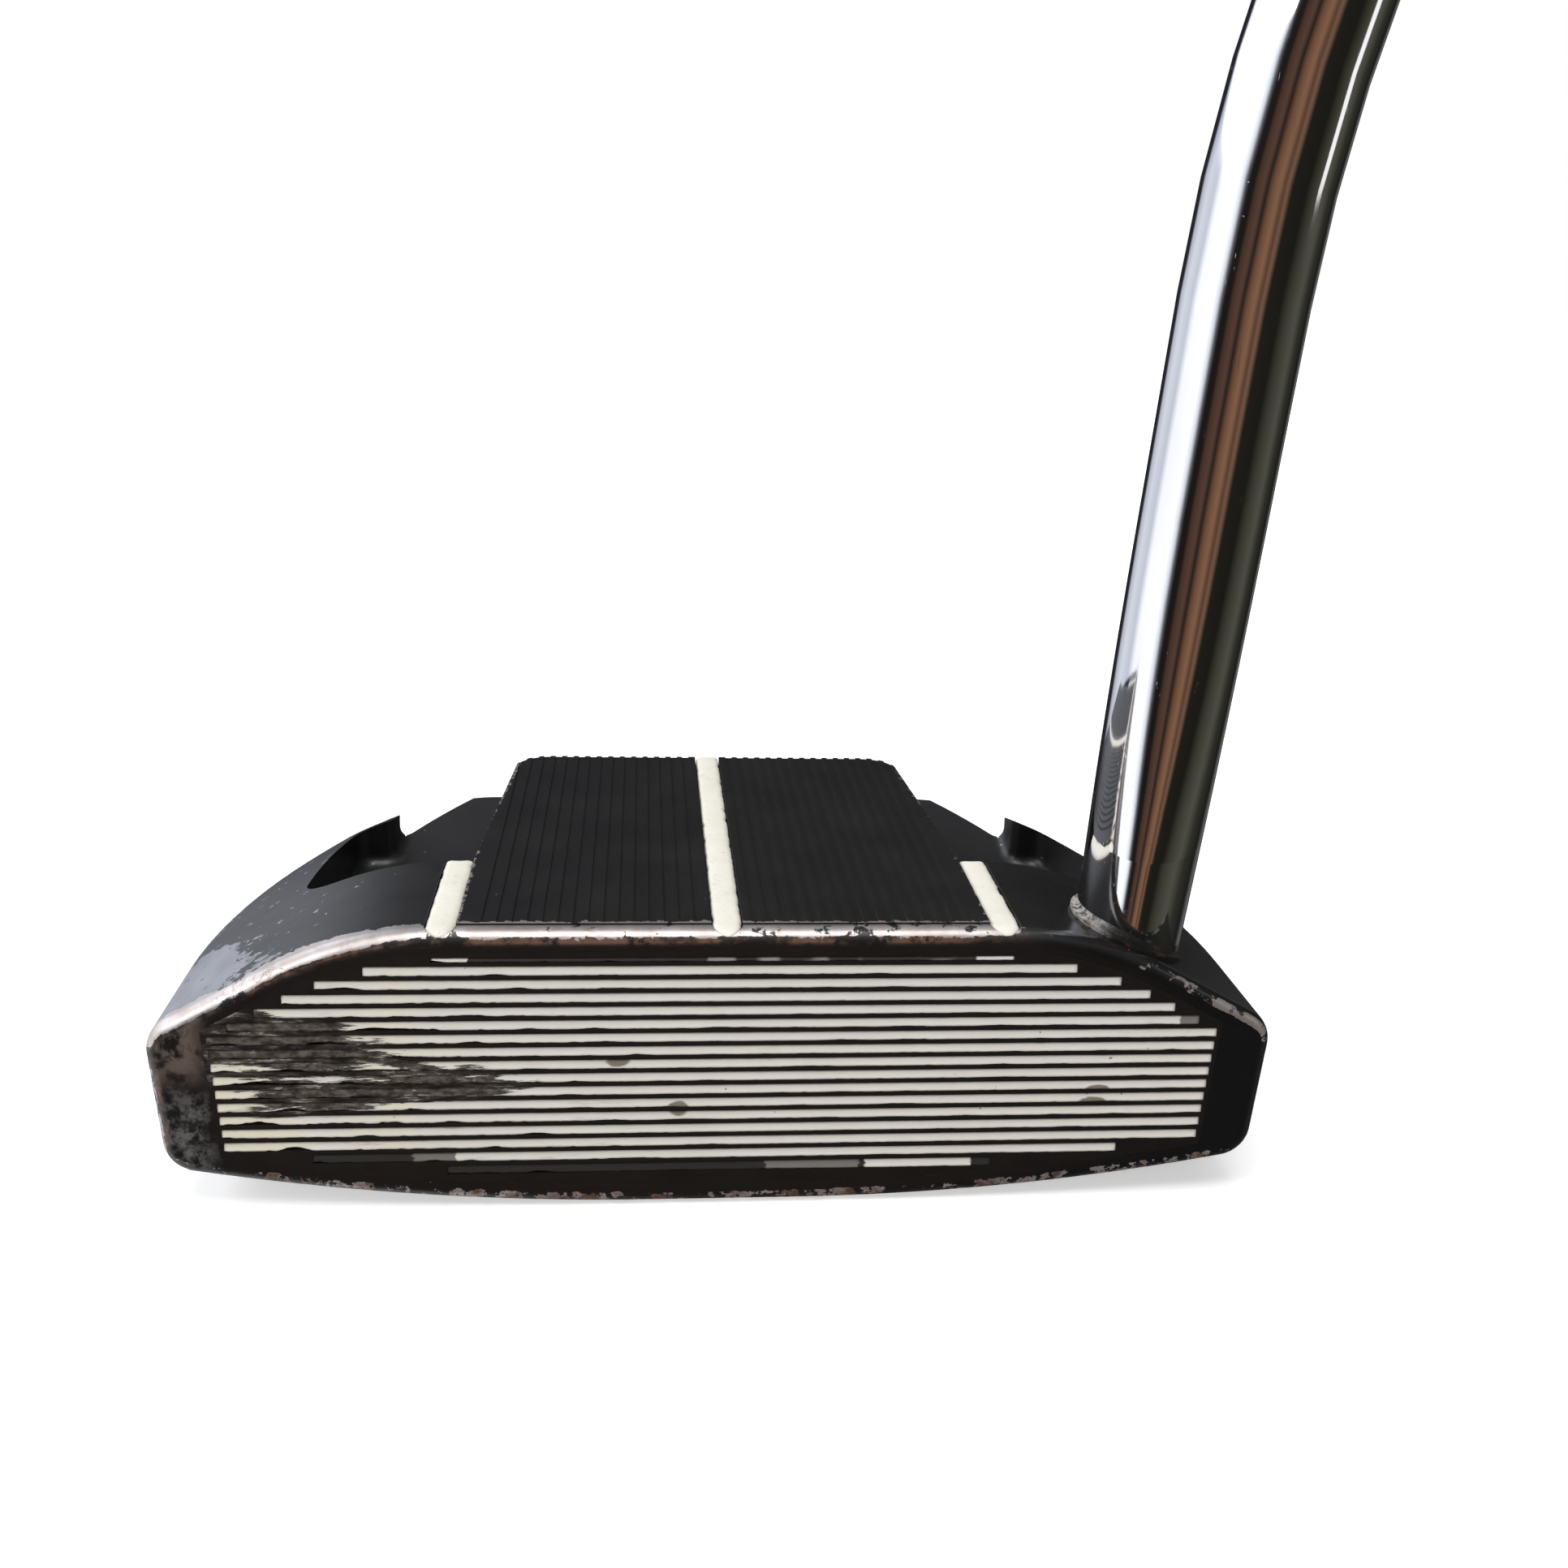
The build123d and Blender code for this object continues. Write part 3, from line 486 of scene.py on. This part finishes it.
def blackened_rows(s, color, fine):
    """Covers the parts of the lowest and highest rows where no polymer shows."""
    jitter = s.add(s.x, s.times(fine, 1.2))
    for z, bright_low, bright_high, dim_low, dim_high in PARTIAL_ROWS:
        this_row = s.band(s.z, z - ROW_HALF, z + ROW_HALF, 0.1)
        dim = s.times(s.band(jitter, dim_low, dim_high, 0.2), DIM_SHARE)
        hidden = s.minus(1.0, s.most(s.band(jitter, bright_low, bright_high, 0.2), dim))
        color = s.mix(s.times(this_row, hidden, 0.97), color, BARE_ROW)
    ends = s.times(s.band(s.calc("ABSOLUTE", s.x), 21.0, 23.9, 0.25),
                   s.ramp(s.noise(2.2, 2.0), 0.62, 0.58))
    middle = s.times(s.ramp(s.noise(5.0, 2.0), 0.5, 0.56), s.band(s.x, -12.0, 19.0, 1.0), 0.35)
    hidden = s.times(s.ramp(s.z, TOP_ROW_Z, TOP_ROW_Z + 0.05), s.minus(1.0, s.most(ends, middle)))
    return s.mix(s.times(hidden, 0.96), color, BARE_ROW)


def groove_polymer():
    """Light polymer, dirty in its pores, with a dark scuffed patch at the toe."""
    s = Shader("groove_polymer")
    fine = s.noise(0.5, 5.0, 0.65, s.stretched(0.5, 1.0, 1.0))
    streak = s.noise(1.0, 6.0, 0.75, s.stretched(0.16, 1.0, 1.6))
    patch = scuff_patch(s, streak)
    pits = s.ramp(s.noise(0.8, 2.0, 0.5), 0.76, 0.79)
    grime = s.times(s.ramp(s.noise(1.3, 6.0, 0.7, s.stretched(0.3, 1.0, 1.0)), 0.60, 0.78), 0.5)
    lower_toe = s.times(s.ramp(s.x, 2.0, -22.0), s.ramp(s.z, 16.0, 9.0),
                        s.ramp(streak, 0.55, 0.68), 0.55)
    color = s.mix(grime, polymer_with_painted_shade(s), GRIME)
    color = s.mix(lower_toe, color, LOWER_TOE_GRIME)
    color = s.mix(patch, color, scuff_color(s, fine))
    color = s.mix(s.times(pits, 0.8), color, PIT_COLOR)
    color = dirt_spots(s, color, fine)
    color = blackened_rows(s, color, fine)
    height = s.add(s.times(fine, 0.5), s.times(patch, -0.5), s.times(pits, -0.6))
    rough = s.add(0.48, s.times(fine, 0.25))
    return s.finish(color, rough, 0.0, s.bump(height, 0.05), Specular_IOR_Level=0.35)


# ---- the other materials -------------------------------------------------------------------------
def line_paint():
    """Thick cream paint, dirty at its edges."""
    s = Shader("line_paint")
    soft = s.noise(2.6, 4.0, 0.6)
    color = s.mix(soft, (0.72, 0.69, 0.58), (0.86, 0.84, 0.76))
    dirt = s.times(s.ramp(s.noise(1.1, 6.0, 0.75), 0.56, 0.72), 0.55)
    color = s.mix(dirt, color, (0.42, 0.38, 0.28))
    specks = s.ramp(s.noise(0.45, 3.0, 0.6), 0.72, 0.76)
    color = s.mix(s.times(specks, 0.8), color, (0.12, 0.1, 0.08))
    height = s.add(s.times(soft, 1.2), s.times(s.noise(0.5, 4.0), 0.4))
    return s.finish(color, s.add(0.42, s.times(soft, 0.2)), 0.0, s.bump(height, 0.09))


def chrome():
    """Chromed steel with fine scratches, and pitting near the head."""
    s = Shader("chrome")
    near_head = s.ramp(s.z, 62.0, 24.0)
    pits = s.ramp(s.noise(0.5, 3.0, 0.7), s.blend(near_head, 0.80, 0.70),
                  s.blend(near_head, 0.83, 0.73))
    haze = s.noise(3.0, 5.0, 0.6, s.stretched(1.0, 1.0, 0.35))
    lines = s.ramp(s.noise(0.45, 4.0, 0.7, s.stretched(1.0, 1.0, 0.06)), 0.66, 0.74)
    scuffs = s.ramp(s.noise(0.9, 5.0, 0.75, s.stretched(0.7, 0.7, 1.6)), 0.70, 0.74)
    color = s.mix(haze, (0.80, 0.80, 0.82), (0.92, 0.92, 0.93))
    color = s.mix(s.times(pits, 0.8), color, (0.13, 0.10, 0.08))
    rough = s.add(0.045, s.times(haze, 0.05), s.times(lines, 0.07), s.times(pits, 0.4),
                  s.times(scuffs, 0.12))
    height = s.add(s.times(lines, -0.3), s.times(pits, -1.0), s.times(scuffs, -0.4), s.times(haze, 0.3))
    return s.finish(color, rough, 1.0, s.bump(height, 0.012))


def epoxy():
    """The bond round the shaft: dark, with pale crusted lumps on its toe side and some rust."""
    s = Shader("epoxy")
    crust = s.noise(0.7, 6.0, 0.75)
    dark = s.mix(crust, (0.006, 0.006, 0.006), (0.03, 0.028, 0.026))
    pale = s.mix(crust, (0.30, 0.28, 0.25), (0.70, 0.68, 0.63))
    pale_part = s.times(s.ramp(s.add(s.x, s.times(crust, 3.0)), 34.6, 33.2), s.ramp(crust, 0.42, 0.5))
    color = s.mix(pale_part, dark, pale)
    color = s.mix(s.times(s.ramp(s.noise(1.2, 4.0), 0.56, 0.64), 0.8), color, (0.13, 0.06, 0.03))
    return s.finish(color, s.blend(pale_part, 0.3, 0.6), 0.0, s.bump(crust, 0.25))


def rubber(name, tint):
    """Matte rubber with a fine leather-like grain, shiny where hands rub it."""
    s = Shader(name)
    grain = s.cells(1.1)
    rub = s.noise(24.0, 3.0, 0.5)
    light = tuple(2.1 * part for part in tint)
    color = s.mix(s.times(rub, 0.8), tint, light)
    dust = s.ramp(s.noise(2.0, 6.0, 0.7), 0.6, 0.8)
    color = s.mix(s.times(dust, 0.25), color, (0.16, 0.155, 0.15))
    height = s.add(s.ramp(grain, 0.0, 0.5), s.times(s.noise(0.4, 3.0), 0.3))
    return s.finish(color, s.blend(rub, 0.75, 0.5), 0.0, s.bump(height, 0.18), Specular_IOR_Level=0.4)


def tape():
    """Woven masking tape under the grip."""
    s = Shader("tape")
    weave = s.noise(0.4, 4.0, 0.6)
    return s.finish(s.mix(weave, (0.42, 0.36, 0.25), (0.6, 0.54, 0.4)), 0.85, 0.0, s.bump(weave, 0.05))


PLATE = insert_metal()
POLYMER = groove_polymer()
PAINT = line_paint()
CAD_FINISH = {
    "head_body": worn_black_head(),
    "face_insert": PLATE,
    "insert_adhesive": PLATE,
    "shaft": chrome(),
    "shaft_epoxy": epoxy(),
    "grip": rubber("grip_rubber", (0.014, 0.014, 0.015)),
    "grip_tape": tape(),
    "grip_end_cap": rubber("cap_rubber", (0.02, 0.02, 0.021)),
}
for node_name, material in CAD_FINISH.items():
    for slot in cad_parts[node_name].material_slots:
        slot.material = material


# ---- pieces --------------------------------------------------------------------------------------
def mesh_piece(name, points, faces, material, node):
    """A mesh that stands for a CAD node."""
    mesh = bpy.data.meshes.new(name)
    mesh.from_pydata([Vector(p) * MM for p in points], [], faces)
    mesh.validate()
    mesh.materials.append(material)
    piece = bpy.data.objects.new(name, mesh)
    bpy.context.scene.collection.objects.link(piece)
    for polygon in mesh.polygons:
        polygon.use_smooth = True
    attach(piece, "root")
    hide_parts(node)
    return piece


def lattice(rings):
    """Quads that join equal closed rings of points, with both ends capped."""
    count = len(rings[0])
    points = [point for ring in rings for point in ring]
    faces = []
    for row in range(len(rings) - 1):
        for k in range(count):
            nxt = (k + 1) % count
            faces.append((row * count + k, row * count + nxt,
                          (row + 1) * count + nxt, (row + 1) * count + k))
    faces.append(tuple(reversed(range(count))))
    faces.append(tuple((len(rings) - 1) * count + k for k in range(count)))
    return points, faces


def wobble(*place):
    """Smooth noise from about -1 to 1 at a place."""
    return noise.noise(Vector(place))


STRIP_COUNT = 17
STRIP_STEP = 0.3           # spacing of the columns along a strip
STRIP_FRONT = 0.05         # how far the strip stays behind the face
STRIP_SAG = 0.10           # its upper edge lies deeper than its middle
STRIP_DEEP = 0.9           # how far back it reaches
STRIP_ROOM_ABOVE = 0.04    # inside the CAD strip's box
STRIP_ROOM_BELOW = 0.055
STRIP_UPPER_EDGE = 0.03
# the front of its section: share of the height, share of the sag
STRIP_SECTION = ((0.0, 0.04), (0.22, 0.0), (0.72, 0.0), (0.92, 0.35), (1.0, 1.0))
NICKED_FROM = -4.0         # nicks grow from here towards the toe, over this length
NICKED_OVER = 30.0


def strip_edges(x, number, bottom, top):
    """Heights of a strip's nicked lower edge and wavy upper edge at x."""
    toe = min(max((NICKED_FROM - x) / NICKED_OVER, 0.0), 1.0)
    coarse = wobble(x * 0.35, number * 7.3, 0.0)
    fine = wobble(x * 1.7, number * 3.1, 5.0)
    nick = max(0.0, coarse) * (0.12 + 0.38 * toe) + max(0.0, fine) * (0.06 + 0.12 * toe)
    wave = 0.025 * wobble(x * 0.8, number * 5.7, 9.0)
    return bottom + min(nick, 0.5 * (top - bottom)), top - STRIP_UPPER_EDGE + wave


def worn_strip(number):
    """One groove's filling: square ends, soft front, and a lower edge that is nicked and ragged."""
    node = f"groove_fill_{number:02d}"
    low, high = (Vector(corner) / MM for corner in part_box(node))
    top, bottom = high.z - STRIP_ROOM_ABOVE, low.z + STRIP_ROOM_BELOW
    back = face_y((top + bottom) / 2) + STRIP_DEEP
    columns = max(2, round((high.x - low.x) / STRIP_STEP))
    rings = []
    for k in range(columns + 1):
        x = low.x + (high.x - low.x) * k / columns
        z_low, z_high = strip_edges(x, number, bottom, top)
        ring = []
        for share, sag in STRIP_SECTION:
            z = z_low + (z_high - z_low) * share
            ring.append((x, face_y(z) + STRIP_FRONT + STRIP_SAG * sag, z))
        rings.append(ring + [(x, back, z_high), (x, back, z_low)])
    points, faces = lattice(rings)
    return mesh_piece(f"worn_strip_{number:02d}", points, faces, POLYMER, node)


for strip_number in range(STRIP_COUNT):
    worn_strip(strip_number)


LINE_STEP = 0.28           # spacing of the rows along a line
LINE_ENDS = 0.02           # inside the CAD line's box
LINE_SUNK = 0.05           # how far the paint stays under the surface
LINE_SIDE = 0.10           # between the paint's side and the CAD line's, and what chips add to it
LINE_CHIP = 0.22
LINE_ROUGH = 0.07
LINE_RIPPLE = 0.03
LINE_FLOOR = 0.02          # above the CAD line's underside
# its section from side to side: share of the width, how far below the top
LINE_SECTION = ((0.0, 0.22), (0.06, 0.08), (0.2, 0.0), (0.5, 0.02), (0.8, 0.0), (0.94, 0.08),
                (1.0, 0.22))
SIDE_LINE_SUNK = 0.15      # the two short lines lie this much below the long one


def line_sides(y, low_y, middle, half):
    """Where the paint's two sides are at y: chipped, and round at the front end."""
    ahead = low_y + half - y
    round_half = math.sqrt(max(half**2 - ahead**2, 0.02)) if ahead > 0 else half
    left = LINE_SIDE + LINE_CHIP * max(0.0, wobble(y * 0.7, middle, 2.0))
    right = LINE_SIDE + LINE_CHIP * max(0.0, wobble(y * 0.7, middle, 8.0))
    fine = LINE_ROUGH * wobble(y * 2.6, middle, 4.0)
    return middle - max(round_half - left - fine, 0.1), middle + max(round_half - right + fine, 0.1)


def edge_drop(y, level):
    """How far the head's rounded front edge has fallen away at y."""
    over = max(EDGE_RADIUS - (y - face_y(level)), 0.0)
    return EDGE_RADIUS - math.sqrt(max(EDGE_RADIUS**2 - over**2, 0.0))


def sight_line(end, level):
    """One alignment line: thick paint in its groove, with chipped edges and a round front."""
    node = f"alignment_line_{end}"
    low, high = (Vector(corner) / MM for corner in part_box(node))
    middle = (low.x + high.x) / 2
    half = (high.x - low.x) / 2
    rows = round((high.y - low.y) / LINE_STEP)
    rings = []
    for k in range(rows + 1):
        y = low.y + LINE_ENDS + (high.y - low.y - 2 * LINE_ENDS) * k / rows
        x_low, x_high = line_sides(y, low.y, middle, half)
        z_top = level - edge_drop(y, level) - LINE_SUNK
        ring = []
        for share, sink in LINE_SECTION:
            ripple = LINE_RIPPLE * wobble(share * 5.0, y * 0.9, middle)
            z = max(z_top - sink + ripple, low.z + 2 * LINE_FLOOR)
            ring.append((x_low + (x_high - x_low) * share, y, z))
        rings.append(ring + [(x_high, y, low.z + LINE_FLOOR), (x_low, y, low.z + LINE_FLOOR)])
    points, faces = lattice(rings)
    return mesh_piece(f"sight_line_{end}", points, faces, PAINT, node)


sight_line("centre", TOP_Z)
sight_line("toe", TOP_Z - SIDE_LINE_SUNK)
sight_line("heel", TOP_Z - SIDE_LINE_SUNK)


# ---- stage, light and camera, in metres ----------------------------------------------------------
FLOOR_HALF = 4.0
FLOOR_NEAR = 0.10          # the floor fades to plain white from here to FLOOR_FAR
FLOOR_FAR = 0.55
FLOOR_GLOW = (0.45, 0.85)
FLOOR_COLOR = (0.86, 0.86, 0.86)
WHITE = (1.0, 1.0, 1.0)


def stage_floor():
    """A plain pale floor that mirrors leave out."""
    mesh = bpy.data.meshes.new("floor")
    corners = [(-FLOOR_HALF, -FLOOR_HALF, 0), (FLOOR_HALF, -FLOOR_HALF, 0), (FLOOR_HALF, FLOOR_HALF, 0),
               (-FLOOR_HALF, FLOOR_HALF, 0)]
    mesh.from_pydata(corners, [], [(0, 1, 2, 3)])
    floor = bpy.data.objects.new("floor", mesh)
    bpy.context.scene.collection.objects.link(floor)
    s = Shader("pale_floor")
    away = s.calc("SQRT", s.add(s.times(s.x, s.x), s.times(s.y, s.y)))
    s.put(s.surface.inputs["Emission Color"], WHITE)
    glow = s.ramp(away, FLOOR_NEAR / MM, FLOOR_FAR / MM, *FLOOR_GLOW)
    s.put(s.surface.inputs["Emission Strength"], glow)
    mesh.materials.append(s.finish(FLOOR_COLOR, 0.9))
    floor.visible_glossy = False


stage_floor()

# the room's walls: degrees round the object from -y, where -x is negative, and the colour there
WALLS = (
    (-180, (0.02, 0.02, 0.02)), (-163, (0.02, 0.02, 0.03)), (-155, (0.5, 0.52, 0.6)),
    (-138, (0.75, 0.78, 0.86)), (-118, (0.62, 0.65, 0.74)), (-106, (1.1, 1.12, 1.15)),
    (-72, (1.2, 1.22, 1.25)), (-64, (0.85, 0.88, 0.95)), (-58, (0.12, 0.12, 0.13)),
    (-53, (0.012, 0.011, 0.01)), (-44, (0.014, 0.01, 0.009)), (-39, (0.07, 0.035, 0.024)),
    (-28, (0.10, 0.055, 0.042)), (-21, (0.02, 0.013, 0.011)), (-13, (0.16, 0.078, 0.044)),
    (-2, (0.25, 0.13, 0.075)), (6, (0.10, 0.05, 0.03)), (12, (0.19, 0.11, 0.07)),
    (19, (0.016, 0.014, 0.011)), (45, (0.012, 0.012, 0.009)), (62, (0.05, 0.048, 0.036)),
    (84, (0.085, 0.083, 0.066)), (102, (0.03, 0.03, 0.024)), (124, (0.012, 0.012, 0.012)),
    (140, (0.14, 0.14, 0.135)), (150, (0.02, 0.02, 0.02)), (180, (0.02, 0.02, 0.02)),
)
CEILING = (0.30, 0.31, 0.33)
CEILING_FADE = (0.6, 0.85)
WINDOW = (2.0, 2.07, 2.2)
WINDOW_TURN = (-152, -92)  # degrees, as the walls
WINDOW_HEIGHT = (0.24, 0.72)
WINDOW_SOFT = 0.03


def turn_share(degrees):
    return degrees / 360 + 0.5


def window_side(t, value, low, high):
    """1 between low and high, with soft ends centred on them."""
    rise = t.ramp(value, low - WINDOW_SOFT, low + WINDOW_SOFT)
    return t.times(rise, t.minus(1.0, t.ramp(value, high - WINDOW_SOFT, high + WINDOW_SOFT)))


def studio_world():
    """A soft room: white on the toe's side, with a tall window, and dark and brown on the heel's."""
    world = bpy.data.worlds.new("studio")
    bpy.context.scene.world = world
    t = Tree(world)
    x, y, z = t.split(t.nodes.new("ShaderNodeTexCoord").outputs["Generated"])
    turn = t.calc("ARCTAN2", x, t.times(y, -1.0))
    share = t.add(t.calc("DIVIDE", turn, 2 * math.pi), 0.5)
    room = t.color_stops(share, [(turn_share(degrees), color) for degrees, color in WALLS])
    room = t.mix(t.ramp(z, *CEILING_FADE), room, CEILING)
    across = window_side(t, share, *(turn_share(degrees) for degrees in WINDOW_TURN))
    room = t.mix(t.times(across, window_side(t, z, *WINDOW_HEIGHT)), room, WINDOW)
    seen = t.nodes.new("ShaderNodeLightPath").outputs["Is Camera Ray"]
    background = t.nodes["Background"]
    t.put(background.inputs["Color"], t.mix(seen, room, WHITE))
    background.inputs["Strength"].default_value = 1.0


studio_world()


def soft_light(name, at, size, power, aim=(0.0, 0.0, 0.015), mirrored=False, tall=1.0):
    """An area light that shows in mirrors only where mirrored says so; power is in watts."""
    light = bpy.data.lights.new(name, "AREA")
    light.shape = "RECTANGLE"
    light.size = size
    light.size_y = size * tall
    light.energy = power
    lamp = bpy.data.objects.new(name, light)
    lamp.location = at
    lamp.rotation_euler = (Vector(aim) - Vector(at)).to_track_quat("-Z", "Y").to_euler()
    lamp.visible_glossy = mirrored
    bpy.context.scene.collection.objects.link(lamp)


soft_light("front_fill", at=(-0.25, -0.9, 0.45), size=0.5, power=3.4)
soft_light("overhead", at=(-0.05, -0.25, 0.85), size=0.45, power=3.6, mirrored=True)
soft_light("toe_key", at=(-0.55, -0.25, 0.5), size=0.25, power=1.2, mirrored=True)
soft_light("back_fill", at=(0.1, 0.9, 0.5), size=0.5, power=3.0)
soft_light("right_strip", at=(0.33, -0.10, 0.16), size=0.05, power=0.028, aim=(0.036, -0.013, 0.16),
           mirrored=True, tall=3.6)

PITCH = math.radians(18.55)
YAW = math.radians(5.5)
ROLL = math.radians(2.09)
CAMERA_AT = Vector((-7.2, -127.2, 77.7)) * MM
SENSOR_WIDTH = 36.0
LENS = 35.96
CLIP_START = 0.005
CLIP_END = 20.0


def studio_camera():
    """The camera fitted to the photo's viewing angle."""
    camera = bpy.data.cameras.new("camera")
    camera.sensor_width = SENSOR_WIDTH
    camera.lens = LENS
    camera.clip_start = CLIP_START
    camera.clip_end = CLIP_END
    holder = bpy.data.objects.new("camera", camera)
    ahead = Vector((math.sin(YAW) * math.cos(PITCH), math.cos(YAW) * math.cos(PITCH), -math.sin(PITCH)))
    level = Vector((math.cos(YAW), -math.sin(YAW), 0.0))
    over = level.cross(ahead)
    right = math.cos(ROLL) * level + math.sin(ROLL) * over
    upward = -math.sin(ROLL) * level + math.cos(ROLL) * over
    turn = Matrix((right, upward, -ahead)).transposed().to_4x4()
    holder.matrix_world = Matrix.Translation(CAMERA_AT) @ turn
    bpy.context.scene.collection.objects.link(holder)
    bpy.context.scene.camera = holder


studio_camera()
bpy.context.scene.view_settings.view_transform = "Standard"
